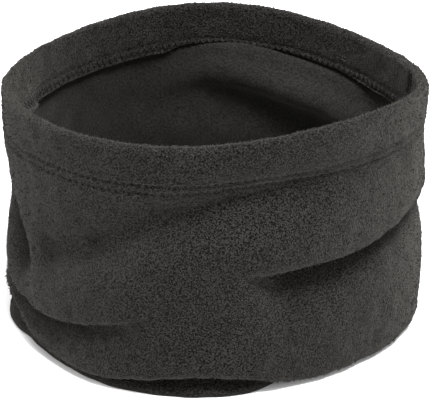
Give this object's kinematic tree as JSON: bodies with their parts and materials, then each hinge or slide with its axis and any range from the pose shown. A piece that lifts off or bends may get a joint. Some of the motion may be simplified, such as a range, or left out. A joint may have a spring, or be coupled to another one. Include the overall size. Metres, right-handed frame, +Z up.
{
  "type": "neck gaiter",
  "caption": "Brushed fleece neck gaiter standing slumped on its lower hem, a seamed tube with twin-needle stitched hems.",
  "frame": {"origin": "middle of the outline on the ground, under the foot the tube stands on", "axes": "+Z up the tube towards the rim, +X to the right and -Y towards the viewer"},
  "size_m": [0.1728, 0.1672, 0.1092],
  "materials": {
    "fleece": "matte",
    "thread": "matte"
  },
  "bodies": {
    "root": {"fleece_panel": "fleece", "top_hem_outer_needle_thread": "thread", "top_hem_inner_needle_thread": "thread", "top_hem_looper_thread": "thread", "bottom_hem_outer_needle_thread": "thread", "bottom_hem_inner_needle_thread": "thread", "bottom_hem_looper_thread": "thread", "closing_seam_front_needle_thread": "thread", "closing_seam_rear_needle_thread": "thread", "closing_seam_looper_thread": "thread"}
  },
  "joints": []
}
